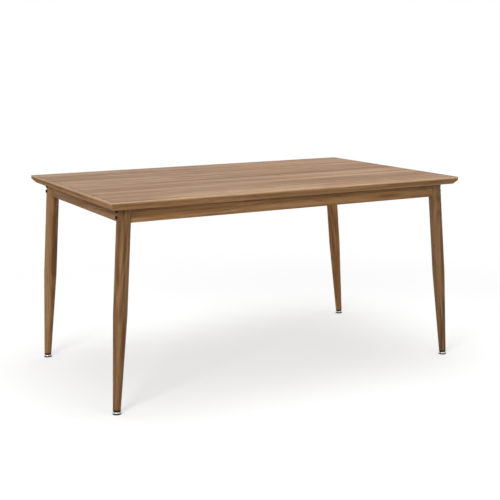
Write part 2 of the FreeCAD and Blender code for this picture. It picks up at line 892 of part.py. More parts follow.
def check_and_write():
    """Stop on any failed object, then write one STEP file for each node."""
    doc.recompute()
    for thing in doc.Objects:
        if "Invalid" in thing.State or "Error" in thing.State:
            raise RuntimeError("%s failed: %s" % (thing.Name, thing.State))
    for node in nodes:
        if node.Shape.isNull() or not node.Shape.isValid():
            raise RuntimeError("no sound shape for " + node.Label)
    os.makedirs("parts", exist_ok=True)
    for node in nodes:
        node.Shape.exportStep("parts/%s.step" % node.Label)
        print("%-28s %2d solid(s) %12.1f mm3" % (node.Label, len(node.Shape.Solids), node.Shape.Volume))
    print(len(nodes), "nodes")


make_tabletop()
make_legs()
make_leg_caps()
make_long_rails()
make_short_rails()
make_nut_blocks()
make_frame_bolts()
make_tabs()
make_tabletop_screws()
make_foot_plugs()
make_foot_nuts()
make_foot_studs()
make_foot_cups()
make_foot_soles()
check_and_write()
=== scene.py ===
# %% [markdown]
# # A dining table
#
# The table's pieces come from the construction model, already in their real places. This lesson gives
# them the finishes of the real table, adds the small things that a stand-in lacks, such as threads,
# pressed cups and weld beads, and sets up the camera and the light of a plain studio picture.

# %% Load the construction model
import math

import bmesh
import bpy
from mathutils import Matrix, Vector


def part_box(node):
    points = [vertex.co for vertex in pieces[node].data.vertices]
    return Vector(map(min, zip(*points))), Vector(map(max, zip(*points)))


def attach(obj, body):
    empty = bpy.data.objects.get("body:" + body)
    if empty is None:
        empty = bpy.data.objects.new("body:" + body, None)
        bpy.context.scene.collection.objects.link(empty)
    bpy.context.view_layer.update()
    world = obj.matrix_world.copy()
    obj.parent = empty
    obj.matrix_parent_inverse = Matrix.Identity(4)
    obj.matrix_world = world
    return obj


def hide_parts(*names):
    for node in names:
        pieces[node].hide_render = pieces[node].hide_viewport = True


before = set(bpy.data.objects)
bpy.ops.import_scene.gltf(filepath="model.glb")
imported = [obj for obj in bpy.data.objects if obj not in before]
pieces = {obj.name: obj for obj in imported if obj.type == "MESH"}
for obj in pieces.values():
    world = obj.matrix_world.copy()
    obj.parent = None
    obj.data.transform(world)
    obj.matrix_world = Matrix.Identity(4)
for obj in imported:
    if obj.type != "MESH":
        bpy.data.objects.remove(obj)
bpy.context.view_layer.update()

# %% [markdown]
# ## The camera
#
# The picture was taken from a little above the table top, from the left of the front long side. The
# place and the focal length were worked out from the table's corners, legs and feet. A lens shift
# keeps the object off centre in the picture without tilting the camera any further.

# %% Aim the camera
CAMERA_PLACE = Vector((-1.7938, -3.5073, 1.1793))
CAMERA_YAW = math.radians(30.99)
CAMERA_PITCH = math.radians(13.15)
FOCAL_PIXELS = 1012.07
PICTURE_PIXELS = 500
AXIS_PIXEL = (312.4, 292.13)
SENSOR_WIDTH = 36


def add_object(name, data):
    """An object for a mesh, a lamp or a camera, linked into the scene."""
    thing = bpy.data.objects.new(name, data)
    bpy.context.collection.objects.link(thing)
    return thing


lens = bpy.data.cameras.new("studio_camera")
lens.sensor_width = SENSOR_WIDTH
lens.lens = FOCAL_PIXELS / PICTURE_PIXELS * SENSOR_WIDTH
lens.shift_x = -(AXIS_PIXEL[0] / PICTURE_PIXELS - 0.5)
lens.shift_y = AXIS_PIXEL[1] / PICTURE_PIXELS - 0.5
camera = add_object("studio_camera", lens)
looking = Vector((
    math.sin(CAMERA_YAW) * math.cos(CAMERA_PITCH),
    math.cos(CAMERA_YAW) * math.cos(CAMERA_PITCH),
    -math.sin(CAMERA_PITCH),
))
camera.location = CAMERA_PLACE
camera.rotation_euler = looking.to_track_quat("-Z", "Y").to_euler()
bpy.context.scene.camera = camera
bpy.context.scene.view_settings.view_transform = "Standard"
print("lens", round(lens.lens, 1), "mm, shift", round(lens.shift_x, 3), round(lens.shift_y, 3))

# %% [markdown]
# ## Small helpers for node trees
#
# Every material, the floor and the world are made of nodes. These few helpers keep the later cells
# short. The first ones place a node with its values and join two sockets. The rest are the sums,
# products, masks and mixes that come back all the time.

# %% Place nodes and join their sockets
def place(tree, kind, **sockets):
    """A node in a tree, with values for its input sockets by name."""
    node = tree.nodes.new(kind)
    for name, value in sockets.items():
        node.inputs[name.replace("_", " ")].default_value = value
    return node


def join(tree, source, target):
    """A link from an output socket to an input socket."""
    tree.links.new(source, target)


def feed(tree, socket, value):
    """Put a plain value in a socket, or join another socket to it."""
    if isinstance(value, (int, float, tuple)):
        socket.default_value = value
    else:
        join(tree, value, socket)


def own_place(tree):
    """The object's own coordinates, in metres."""
    return place(tree, "ShaderNodeTexCoord").outputs["Object"]


# %% Sums and products
def operate(tree, kind, operation, values):
    """A node for one operation on sockets or plain values."""
    node = tree.nodes.new(kind)
    node.operation = operation
    for socket, value in zip(node.inputs, values):
        feed(tree, socket, value)
    return node


def math_node(tree, operation, *values):
    """The result of one operation on sockets or numbers."""
    return operate(tree, "ShaderNodeMath", operation, values).outputs[0]


def vector_node(tree, operation, *values):
    """A node for one operation on vectors."""
    return operate(tree, "ShaderNodeVectorMath", operation, values)


def combine(tree, operation, first, *others):
    """One operation on any number of sockets or numbers, two at a time."""
    for other in others:
        first = math_node(tree, operation, first, other)
    return first


def times(tree, *factors):
    """The product of sockets and numbers."""
    return combine(tree, "MULTIPLY", *factors)


def plus(tree, *parts):
    """The sum of sockets and numbers."""
    return combine(tree, "ADD", *parts)


# %% Masks, colours and vectors
def remap(tree, value, low, high, new_low=0.0, new_high=1.0, smooth=False):
    """A value stretched from one range to another and kept inside the new one."""
    node = place(
        tree, "ShaderNodeMapRange", From_Min=low, From_Max=high, To_Min=new_low, To_Max=new_high)
    if smooth:
        node.interpolation_type = "SMOOTHSTEP"
    feed(tree, node.inputs["Value"], value)
    return node.outputs["Result"]


def mix_colour(tree, amount, first, second, blend="MIX"):
    """Two colours mixed by an amount; each is a socket or a plain colour."""
    node = tree.nodes.new("ShaderNodeMix")
    node.data_type = "RGBA"
    node.blend_type = blend
    for number, value in ((0, amount), (6, first), (7, second)):
        feed(tree, node.inputs[number], value)
    return node.outputs[2]


def mix_shaders(tree, amount, first, second):
    """A node that mixes the shaders of two nodes by an amount."""
    node = tree.nodes.new("ShaderNodeMixShader")
    for socket, source in zip(node.inputs, (amount, first.outputs[0], second.outputs[0])):
        join(tree, source, socket)
    return node


def split(tree, vector):
    """The X, Y and Z of a vector, as three sockets."""
    node = tree.nodes.new("ShaderNodeSeparateXYZ")
    join(tree, vector, node.inputs[0])
    return tuple(node.outputs)


def together(tree, x, y, z):
    """A vector from three sockets or numbers."""
    node = tree.nodes.new("ShaderNodeCombineXYZ")
    for socket, value in zip(node.inputs, (x, y, z)):
        feed(tree, socket, value)
    return node.outputs[0]


# %% [markdown]
# ## The light of the studio
#
# The table stands in a white studio with a large soft window high on the left and a soft panel above,
# and a white board low in front of it that throws a little light back under the table top. Light from
# all round fills the rest at a low level, so the legs keep a bright and a dark side. What the camera
# sees round the table is plain white. Polished metal sees the same white behind and above the table,
# and the darker part of the room behind the camera, which gives chrome its dark lines.

# %% The world
WORLD_LIGHT = 0.26
ROOM_BEHIND_CAMERA = 0.10
CAMERA_TO_LEFT = 0.35
WHITE = (1, 1, 1, 1)

world = bpy.data.worlds.new("studio")
bpy.context.scene.world = world
world.use_nodes = True
sky = world.node_tree
sky.nodes.clear()
rays = place(sky, "ShaderNodeLightPath").outputs
to_x, to_y, to_z = split(sky, place(sky, "ShaderNodeTexCoord").outputs["Generated"])
away_from_camera = plus(sky, to_y, times(sky, to_x, CAMERA_TO_LEFT))
camera_side = remap(sky, away_from_camera, 0.35, -0.2, smooth=True)
low_down = remap(sky, to_z, 0.85, 0.45, smooth=True)
dark_room = times(sky, camera_side, low_down)
fill = place(sky, "ShaderNodeBackground", Color=WHITE, Strength=WORLD_LIGHT)
mirrored = place(sky, "ShaderNodeBackground", Color=WHITE)
join(sky, remap(sky, dark_room, 0.0, 1.0, 1.0, ROOM_BEHIND_CAMERA), mirrored.inputs["Strength"])
backdrop = place(sky, "ShaderNodeBackground", Color=WHITE, Strength=1.0)
by_metal = mix_shaders(sky, rays["Is Glossy Ray"], fill, mirrored)
seen = combine(sky, "MAXIMUM", rays["Is Camera Ray"], rays["Is Transmission Ray"])
by_camera = mix_shaders(sky, seen, by_metal, backdrop)
join(sky, by_camera.outputs[0], place(sky, "ShaderNodeOutputWorld").inputs["Surface"])
print("world light", WORLD_LIGHT)

# %% [markdown]
# ## The floor
#
# A white floor sends light up to the underside of the board and to the legs, and carries the soft
# shadow of the table. It is one large square. For the light that it sends to the table it is plain
# matt white. What the camera and the metal see of it is lifted, so that only the shadow is grey, and
# further out it turns into the white of the backdrop, with no horizon.

# %% Make the floor
FLOOR_REACH = 30
SQUARE = ((-1, -1), (1, -1), (1, 1), (-1, 1))

floor_mesh = bpy.data.meshes.new("studio_floor")
floor_mesh.from_pydata([(x * FLOOR_REACH, y * FLOOR_REACH, 0) for x, y in SQUARE], [], [(0, 1, 2, 3)])
floor = add_object("studio_floor", floor_mesh)
print("floor", floor.dimensions.x, "m across")

# %% Paint the floor
FLOOR_BOUNCE = 0.69
FLOOR_SEEN = 0.64
FLOOR_LIFT = 0.558
FADE_FROM, FADE_TO = 1.1, 2.4


def shaded(colour, factor):
    """A colour made darker or lighter by a factor."""
    return tuple(channel * factor for channel in colour[:3]) + (1,)


floor_paint = bpy.data.materials.new("studio white")
floor_paint.use_nodes = True
paint = floor_paint.node_tree
paint.nodes.clear()
rays = place(paint, "ShaderNodeLightPath").outputs
seen = combine(
    paint, "MAXIMUM", rays["Is Camera Ray"], rays["Is Glossy Ray"], rays["Is Transmission Ray"])
from_table = vector_node(paint, "LENGTH", own_place(paint)).outputs["Value"]
far_away = remap(paint, from_table, FADE_FROM, FADE_TO, smooth=True)
bounce = place(paint, "ShaderNodeBsdfDiffuse", Color=shaded(WHITE, FLOOR_BOUNCE))
shadowed = place(paint, "ShaderNodeBsdfDiffuse", Color=shaded(WHITE, FLOOR_SEEN))
lift = place(paint, "ShaderNodeEmission", Color=WHITE, Strength=FLOOR_LIFT)
white = place(paint, "ShaderNodeEmission", Color=WHITE, Strength=1.0)
near_table = place(paint, "ShaderNodeAddShader")
join(paint, shadowed.outputs[0], near_table.inputs[0])
join(paint, lift.outputs[0], near_table.inputs[1])
whole_floor = mix_shaders(paint, seen, bounce, mix_shaders(paint, far_away, near_table, white))
join(paint, whole_floor.outputs[0], place(paint, "ShaderNodeOutputMaterial").inputs["Surface"])
floor_mesh.materials.append(floor_paint)
print("floor paint with", len(paint.nodes), "nodes")


# %% The lamps
def area_lamp(name, place_at, aim_at, size, watts):
    """A square lamp that stands at one point and shines towards another."""
    lamp = bpy.data.lights.new(name, "AREA")
    lamp.shape = "SQUARE"
    lamp.size = size
    lamp.energy = watts
    stand = add_object(name, lamp)
    stand.location = place_at
    stand.rotation_euler = (Vector(aim_at) - Vector(place_at)).to_track_quat("-Z", "Y").to_euler()
    return stand


window = area_lamp("window_from_left", (-3.6, -3.1, 2.5), (0, 0, 0.4), 1.8, 110)
panel = area_lamp("panel_above", (0.3, 0.2, 4.2), (0, 0, 0), 3.2, 80)
board_from_front = area_lamp("white_board_in_front", (0.9, -4.4, 0.9), (0, 0, 0.5), 2.0, 22)
print("lamps:", [lamp.data.energy for lamp in (window, panel, board_from_front)], "W")

# %% [markdown]
# ## Walnut grain
#
# Board and tubes carry the same printed walnut: long fine streaks, a broader figure of dark and light
# bands, the nested arches of a sawn board, and short dark pores. The grain follows the length of each
# piece, so it is one shader group fed with a coordinate whose X runs along the piece. The arches are
# contour lines of a slow noise that is stretched along the grain, as growth rings are where a saw
# cuts through them.

# %% Helpers for shader groups
def new_group(name, inputs, outputs):
    """A shader group with named sockets: inputs are (name, kind, value), outputs (name, kind)."""
    tree = bpy.data.node_groups.new(name, "ShaderNodeTree")
    for label, kind, value in inputs:
        socket = tree.interface.new_socket(name=label, in_out="INPUT", socket_type="NodeSocket" + kind)
        if value is not None:
            socket.default_value = value
    for label, kind in outputs:
        tree.interface.new_socket(name=label, in_out="OUTPUT", socket_type="NodeSocket" + kind)
    return tree, tree.nodes.new("NodeGroupInput").outputs, tree.nodes.new("NodeGroupOutput").inputs


def noise(tree, vector, along, across, detail=3.0, roughness=0.55):
    """Soft noise with one scale along the grain and another across it."""
    scaled = vector_node(tree, "MULTIPLY", vector, (along, across, across))
    node = place(tree, "ShaderNodeTexNoise", Scale=1.0, Detail=detail, Roughness=roughness)
    join(tree, scaled.outputs["Vector"], node.inputs["Vector"])
    return node.outputs["Fac"]


# %% The coordinates of the grain group
walnut, grain_in, grain_out = new_group(
    "walnut grain",
    [
        ("Vector", "Vector", None),
        ("Dark", "Color", (0.172, 0.080, 0.029, 1)),
        ("Middle", "Color", (0.305, 0.155, 0.061, 1)),
        ("Light", "Color", (0.420, 0.232, 0.104, 1)),
        ("Figure", "Float", 0.4),
        ("Streaks", "Float", 0.4),
        ("Arches", "Float", 0.3),
        ("Rings", "Float", 14.0),
        ("Pores", "Float", 0.4),
    ],
    [("Colour", "Color"), ("Roughness", "Float"), ("Height", "Float")],
)
along_grain = grain_in["Vector"]
wander = noise(walnut, along_grain, 1.3, 9.0, detail=2.0)
aside = together(walnut, 0.0, times(walnut, wander, 0.045), times(walnut, wander, 0.03))
grain_line = vector_node(walnut, "ADD", along_grain, aside).outputs["Vector"]
print("group", walnut.name, "has its coordinates")

# %% Bands, streaks, arches and pores
zones = noise(walnut, along_grain, 0.4, 9.0, detail=1.0)
bands = noise(walnut, grain_line, 0.9, 42.0, detail=4.0, roughness=0.6)
streaks = noise(walnut, grain_line, 3.5, 210.0, detail=4.0, roughness=0.7)
pores = noise(walnut, along_grain, 28.0, 1100.0, detail=1.0)
slow = noise(walnut, along_grain, 2.2, 15.0, detail=1.5, roughness=0.4)
ring_number = plus(walnut, times(walnut, slow, grain_in["Rings"]), times(walnut, streaks, 0.5))
ring_wave = math_node(walnut, "SINE", times(walnut, ring_number, 2 * math.pi))

tone_parts = (
    ("Figure", remap(walnut, zones, 0.32, 0.68, -0.4, 0.4)),
    ("Figure", remap(walnut, bands, 0.36, 0.64, -0.5, 0.5)),
    ("Streaks", remap(walnut, streaks, 0.3, 0.7, -0.5, 0.5)),
    ("Arches", remap(walnut, ring_wave, -1.0, 0.6, -0.7, 0.3)),
)
tone = plus(walnut, 0.5, *(times(walnut, part, grain_in[name]) for name, part in tone_parts))
print("tone made of", len(tone_parts), "parts")

# %% Colour, gloss and height of the grain
dark_half = mix_colour(walnut, remap(walnut, tone, 0.0, 0.5), grain_in["Dark"], grain_in["Middle"])
both_halves = mix_colour(walnut, remap(walnut, tone, 0.5, 1.0), dark_half, grain_in["Light"])
pore_mask = times(walnut, remap(walnut, pores, 0.62, 0.72), grain_in["Pores"])
height = math_node(walnut, "SUBTRACT", times(walnut, tone, 0.3), pore_mask)
join(walnut, mix_colour(walnut, pore_mask, both_halves, grain_in["Dark"]), grain_out["Colour"])
join(walnut, remap(walnut, tone, 0.0, 1.0, 0.06, -0.05), grain_out["Roughness"])
join(walnut, height, grain_out["Height"])
print("group", walnut.name, "with", len(walnut.nodes), "nodes")

# %% [markdown]
# ## Gloss that is never quite even
#
# A wiped satin surface has clouds of slightly duller and shinier film, a hand's breadth across, with
# very fine specks in them. This group turns two noises into a roughness round a middle value, and the
# board, the tubes, the metal and the plastic all take it with their own numbers.

# %% The gloss group
gloss_group, gloss_in, gloss_out = new_group(
    "uneven gloss",
    [
        ("Vector", "Vector", None),
        ("Middle", "Float", 0.4),
        ("Clouds", "Float", 0.05),
        ("Specks", "Float", 0.04),
    ],
    [("Roughness", "Float")],
)
uneven = []
for name, scale in (("Clouds", 9.0), ("Specks", 700.0)):
    fine = noise(gloss_group, gloss_in["Vector"], scale, scale, detail=2.0)
    swing = remap(gloss_group, fine, 0.3, 0.7, -1.0, 1.0)
    uneven.append(times(gloss_group, swing, gloss_in[name]))
join(gloss_group, plus(gloss_group, *uneven, gloss_in["Middle"]), gloss_out["Roughness"])
print("group", gloss_group.name, "with", len(gloss_group.nodes), "nodes")

# %% [markdown]
# ## The walnut materials
#
# A rail's grain runs along the rail and a leg's along the leaning leg. The difference is only the
# direction and the part of the print that each piece shows, so one helper makes them all: it turns the
# object's own coordinates until X runs along the piece, and feeds the grain and gloss groups with them.

# %% New materials and the groups in them
def new_material(name, specular):
    """A material, its node tree and its shader."""
    material = bpy.data.materials.new(name)
    material.use_nodes = True
    tree = material.node_tree
    shader = tree.nodes["Principled BSDF"]
    shader.inputs["Specular IOR Level"].default_value = specular
    return material, tree, shader


def use_group(tree, group, vector, **values):
    """A group's node in a material, fed with a coordinate and with its own values."""
    node = tree.nodes.new("ShaderNodeGroup")
    node.node_tree = group
    for socket, value in values.items():
        node.inputs[socket].default_value = value
    join(tree, vector, node.inputs["Vector"])
    return node


def add_bump(tree, shader, height, strength, distance):
    """Let a height that changes over the surface catch the light."""
    bump = place(tree, "ShaderNodeBump", Strength=strength, Distance=distance)
    join(tree, height, bump.inputs["Height"])
    join(tree, bump.outputs[0], shader.inputs["Normal"])


def tint(tree, shader, mask, colour):
    """Lay a colour over what feeds the base colour, where a mask is 1."""
    base = shader.inputs["Base Color"]
    join(tree, mix_colour(tree, mask, base.links[0].from_socket, colour), base)


def add_dullness(tree, shader, extra):
    """Add an amount to what feeds the roughness."""
    rough = shader.inputs["Roughness"]
    join(tree, plus(tree, rough.links[0].from_socket, extra), rough)


# %% Walnut for a direction
PRINT_DEPTH = 0.0004


def along_piece(tree, upwards, axis_point, print_place):
    """Object coordinates turned so that X runs along a piece, measured from a point on its axis."""
    turn = Vector(upwards).rotation_difference(Vector((1, 0, 0)))
    turned = place(tree, "ShaderNodeMapping")
    turned.inputs["Rotation"].default_value = turn.to_euler()
    turned.inputs["Location"].default_value = Vector((print_place, 0, 0)) - turn @ Vector(axis_point)
    join(tree, own_place(tree), turned.inputs["Vector"])
    return turned.outputs[0], turn


def finish_walnut(tree, shader, grain, gloss, bump_strength=0.14):
    """Join the grain and gloss groups to a shader."""
    rough = plus(tree, grain.outputs["Roughness"], gloss.outputs["Roughness"])
    join(tree, rough, shader.inputs["Roughness"])
    join(tree, grain.outputs["Colour"], shader.inputs["Base Color"])
    add_bump(tree, shader, grain.outputs["Height"], bump_strength, PRINT_DEPTH)


def walnut_tube(name, along, axis_point, print_place, gloss_middle, specular, shade=1.0, **values):
    """Printed walnut on a tube, with its grain along the tube, and a factor on its colours for the tone
    of this print and for painted light and shade.
    """
    material, tree, shader = new_material(name, specular)
    vector, turn = along_piece(tree, along, axis_point, print_place)
    grain = use_group(tree, walnut, vector, **values)
    for tone_name in ("Dark", "Middle", "Light"):
        socket = grain.inputs[tone_name]
        socket.default_value = shaded(socket.default_value, shade)
    gloss = use_group(tree, gloss_group, vector, Middle=gloss_middle, Clouds=0.03, Specks=0.03)
    finish_walnut(tree, shader, grain, gloss)
    return material, tree, shader, vector, turn


def dress(node, material):
    """Give a piece of the construction model its finish."""
    mesh = pieces[node].data
    mesh.materials.clear()
    mesh.materials.append(material)


# %% The rails
RAIL_GRAIN = {"Figure": 0.7, "Streaks": 0.8, "Arches": 0.15, "Rings": 11.0, "Pores": 0.45}
RAIL_GLOSS, RAIL_SPECULAR = 0.6, 0.12
PRINT_STEP = 3.1

for number, name in enumerate(("front_rail", "back_rail", "left_rail", "right_rail")):
    low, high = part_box(name)
    middle = [(a + b) / 2 for a, b in zip(low, high)]
    along = (1, 0, 0) if high[0] - low[0] > high[1] - low[1] else (0, 1, 0)
    label = "walnut " + name.replace("_", " ")
    finish = walnut_tube(
        label, along, middle, PRINT_STEP * number, RAIL_GLOSS, RAIL_SPECULAR, **RAIL_GRAIN)
    dress(name, finish[0])
    print(name, "grain along", along)

# %% [markdown]
# ## The legs
#
# Each leg is a leaning tube wrapped in printed film. The film meets itself in one thin seam, which the
# maker turns to the inside of the table. The seam is a mask worked out from the two coordinates across
# the tube: it is dark only within half a millimetre of the line that faces the middle of the table.
# The last two to three millimetres above the cut end are painted black, as painted shade in the gap
# above the foot, so the end shows as a dark ring there. No two legs come from the same place in the
# print, and each has its own factor on its colours, partly the tone of its print and partly painted
# light and shade, which makes the back right leg, in the table's shade, much lighter.

# %% The seam and the painted shade at the end
LEG_FOOT = (0.693, 0.392, 0.0145)
LEG_LEAN = (0.059, 0.008, 0.6825)
SEAM_FADE = (0.0002, 0.0005)
SEAM_STRENGTH, SEAM_COLOUR = 0.55, (0.05, 0.024, 0.011, 1)
END_SHADE_LEVELS = (0.0027, 0.0022)
END_SHADE_COLOUR = (0.018, 0.012, 0.008, 1)


def add_seam(tree, shader, vector, turn, inward):
    """Darken the walnut along the line of a tube that faces inward."""
    facing = turn @ Vector(inward).normalized()
    _, across_y, across_z = split(tree, vector)
    beside = math_node(
        tree, "SUBTRACT", times(tree, across_y, facing.z), times(tree, across_z, facing.y))
    in_front = plus(tree, times(tree, across_y, facing.y), times(tree, across_z, facing.z))
    line = remap(tree, math_node(tree, "ABSOLUTE", beside), *SEAM_FADE, SEAM_STRENGTH, 0.0)
    tint(tree, shader, times(tree, line, math_node(tree, "GREATER_THAN", in_front, 0.0)), SEAM_COLOUR)


def add_painted_end_shade(tree, shader):
    """Paint the last millimetres of a tube black, as painted shade in the gap above the foot."""
    level = split(tree, own_place(tree))[2]
    tint(tree, shader, remap(tree, level, *(LEG_FOOT[2] + above for above in END_SHADE_LEVELS)), END_SHADE_COLOUR)


# %% Leg materials
CORNERS = {"front_left": (-1, -1), "front_right": (1, -1), "back_left": (-1, 1), "back_right": (1, 1)}
LEG_GRAIN = {"Figure": 1.0, "Streaks": 0.7, "Arches": 0.35, "Rings": 9.0, "Pores": 0.5}
# Each leg's factor on its colours: partly the tone of its print, partly painted light and shade.
LEG_TONE_AND_LIGHT = dict(zip(CORNERS, (0.78, 0.67, 0.93, 2.05)))
LEG_PRINT = dict(zip(CORNERS, (7.7, 6.9, 4.6, 15.9)))
LEG_GLOSS, LEG_SPECULAR = 0.45, 0.15

leg_finishes = {}
for corner, (side_x, side_y) in CORNERS.items():
    upwards = (-side_x * LEG_LEAN[0], -side_y * LEG_LEAN[1], LEG_LEAN[2])
    foot = (side_x * LEG_FOOT[0], side_y * LEG_FOOT[1], LEG_FOOT[2])
    name = "walnut " + corner.replace("_", " ") + " leg"
    finish, tree, shader, vector, turn = walnut_tube(
        name, upwards, foot, LEG_PRINT[corner], LEG_GLOSS, LEG_SPECULAR, LEG_TONE_AND_LIGHT[corner], **LEG_GRAIN)
    add_seam(tree, shader, vector, turn, (-side_x, -side_y, 0))
    add_painted_end_shade(tree, shader)
    leg_finishes[corner] = finish
    dress(corner + "_leg", finish)
print(len(leg_finishes), "leg finishes")

# %% [markdown]
# ## The board
#
# The board's print runs along its length on the top face, the long edges and the long bevels. The two
# end faces are covered with strips of their own, whose grain runs across the table. A face is an end
# face where its normal points along X, so one mask, made of the object's own normal, swaps X and Y
# there. Everything else that colours the board is a list of layers over that print. Each layer has a
# mask, a colour and a blend, and the last cell of the board lays them over the print in their order.

# %% The board's print
board_finish, board, board_shader = new_material("walnut board", 0.19)
where = place(board, "ShaderNodeTexCoord").outputs
normal_x, _, normal_z = split(board, where["Normal"])
length_x, width_y, height_z = split(board, where["Object"])
to_end = remap(board, math_node(board, "ABSOLUTE", normal_x), 0.45, 0.55)
swapped = together(board, width_y, length_x, height_z)
choose = board.nodes.new("ShaderNodeMix")
choose.data_type = "VECTOR"
for number, source in ((0, to_end), (4, where["Object"]), (5, swapped)):
    join(board, source, choose.inputs[number])
board_vector = choose.outputs[1]
board_grain = use_group(
    board, walnut, board_vector, Figure=0.7, Streaks=0.8, Arches=0.14, Rings=12.0, Pores=0.3)
board_gloss = use_group(board, gloss_group, board_vector, Middle=0.47, Clouds=0.03, Specks=0.02)
finish_walnut(board, board_shader, board_grain, board_gloss, 0.08)
add_dullness(board, board_shader, remap(board, normal_z, 0.6, 0.95, 0.28, 0.0))
layers = [(to_end, shaded(WHITE, 1.2), "MULTIPLY")]
print("board print with", len(board.nodes), "nodes")

# %% [markdown]
# ## A paler patch and a darker line
#
# The top is painted paler in a patch round the middle of the front edge, and the print is a little
# warmer towards the right. A faint darker line is painted along the edge on top. Painting these by hand
# would tie them to one picture size, so they are masks worked out from the place on the board.

# %% Paler patch, warmth and darker line
PALE_MIDDLE = -0.19
PALER, WARMER = (1.52, 1.70, 1.95, 1), (1.13, 1.08, 1.0, 1)
BOARD_HALVES = (0.70, 0.45)
LINE_STARTS, LINE_ENDS = (0.005, 0.010), (0.024, 0.017)


def between(tree, value, rising, falling):
    """A mask that rises over one range of a value and falls again over another."""
    return times(tree, remap(tree, value, *rising), remap(tree, value, *falling))


on_top = remap(board, normal_z, 0.5, 0.9, 0.0, 0.9)
# A paler patch painted on the top, round the middle of the front edge.
from_pale_middle = math_node(board, "ABSOLUTE", plus(board, length_x, -PALE_MIDDLE))
pale_along = remap(board, from_pale_middle, 0.41, 0.20, smooth=True)
pale_across = remap(board, width_y, -0.26, -0.40, smooth=True)
to_right = remap(board, length_x, 0.0, 0.25, smooth=True)
inwards = [
    math_node(board, "SUBTRACT", half, math_node(board, "ABSOLUTE", part))
    for half, part in zip(BOARD_HALVES, (length_x, width_y))]
in_from_edge = math_node(board, "MINIMUM", *inwards)
# A faint darker line painted on the top, a little inside its edge.
darker_edge_line = times(
    board, between(board, in_from_edge, LINE_STARTS, LINE_ENDS), remap(board, normal_z, 0.97, 0.995))
layers += [
    (times(board, pale_along, pale_across, on_top), PALER, "MULTIPLY"),
    (times(board, to_right, on_top), WARMER, "MULTIPLY"),
    (darker_edge_line, (0.82, 0.80, 0.78, 1), "MULTIPLY"),
]
print("pressed line from", LINE_STARTS[0], "to", LINE_ENDS[0], "m inside the edge")

# %% [markdown]
# ## Painted highlights and shade on the edges
#
# The lower half of the rounded arris and the band just under it are painted lighter, a painted
# highlight that grows towards the right. The upright band is painted darker, as painted shade, and the
# foot of the bevel towards the right and the bevels of the two ends are painted lighter, as painted
# light. The direction of a normal tells round, upright band and bevel apart, so each painted mark stays
# on its own face in any view, and a stretched noise makes the highlight patchy. The underside has only
# a plain backing sheet with a fine fibre.

# %% Painted highlight on the arris and band
ROUND = ((0.02, 0.12), (0.998, 0.97))
UPRIGHT = ((-0.3, -0.1), (0.2, 0.05))
BAND_LEVELS = (0.7165, 0.7190)
ARRIS_HIGHLIGHT, BAND_HIGHLIGHT = (0.65, 0.445, 0.295, 1), (0.54, 0.345, 0.185, 1)

patchy = remap(board, noise(board, board_vector, 14.0, 300.0, detail=4.0), 0.35, 0.60, 0.70, 1.0)
lower_half = times(board, remap(board, normal_z, 0.92, 0.60, 0.35, 1.0), patchy)
on_arris = times(board, between(board, normal_z, *ROUND), lower_half)
upright = between(board, normal_z, *UPRIGHT)
less_at_left = math_node(board, "MAXIMUM", remap(board, length_x, -0.66, -0.42, 0.4, 1.0), to_end)
under_arris = times(
    board, remap(board, height_z, *BAND_LEVELS, 0.0, 0.9), upright, patchy, less_at_left)
highlight_to_right = times(
    board, math_node(board, "MAXIMUM", on_arris, under_arris), remap(board, length_x, -0.05, 0.30))
# Painted highlight: the lower half of the arris and the band under it are painted lighter, more so to
# the right.
layers += [
    (on_arris, ARRIS_HIGHLIGHT, "MIX"),
    # Painted shade: the upright faces of the board are painted darker.
    (upright, (0.84, 0.83, 0.82, 1), "MULTIPLY"),
    (under_arris, BAND_HIGHLIGHT, "MIX"),
    (highlight_to_right, shaded(WHITE, 1.25), "MULTIPLY"),
]
print("worn band from", BAND_LEVELS[0], "m up")

# %% Bevel, underside and the layers in their order
BEVEL = ((-0.9, -0.8), (-0.3, -0.5))
BEVEL_FOOT_LEVELS = (0.7080, 0.6985)
BEVEL_FOOT_LIGHT = (0.50, 0.31, 0.165, 1)
BACKING_DARK, BACKING_LIGHT = (0.17, 0.105, 0.062, 1), (0.235, 0.155, 0.10, 1)

on_bevel = between(board, normal_z, *BEVEL)
more_at_right = remap(board, length_x, -0.4, 0.1, 0.1, 0.55)
bevel_foot = times(board, remap(board, height_z, *BEVEL_FOOT_LEVELS), on_bevel, more_at_right)
fibre = noise(board, where["Object"], 60.0, 260.0)
layers += [
    # Painted light: the bevels of the ends and the foot of the bevels towards the right are painted
    # lighter.
    (times(board, to_end, on_bevel), shaded(WHITE, 1.28), "MULTIPLY"),
    (bevel_foot, BEVEL_FOOT_LIGHT, "MIX"),
    (remap(board, normal_z, -0.9, -0.96), mix_colour(board, fibre, BACKING_DARK, BACKING_LIGHT), "MIX"),
]
colour = board_grain.outputs["Colour"]
for mask, layer_colour, blend in layers:
    colour = mix_colour(board, mask, colour, layer_colour, blend)
join(board, colour, board_shader.inputs["Base Color"])
dress("tabletop", board_finish)
print("board material with", len(layers), "layers and", len(board.nodes), "nodes")

# %% [markdown]
# ## Metal and plastic
#
# The cup feet are polished chrome, the screws, tabs and studs are zinc plated, the frame bolts are
# blackened steel, and the plugs and soles are moulded black plastic. None of them is perfectly even,
# so each takes fine noise in its colour, the gloss group for its roughness, and a little bump. The
# lower edge of a cup, just above the floor, is painted dark and made duller.

# %% One helper for the plain materials
SPECK_SHADE = 0.82
PLAIN_BUMP = 0.25


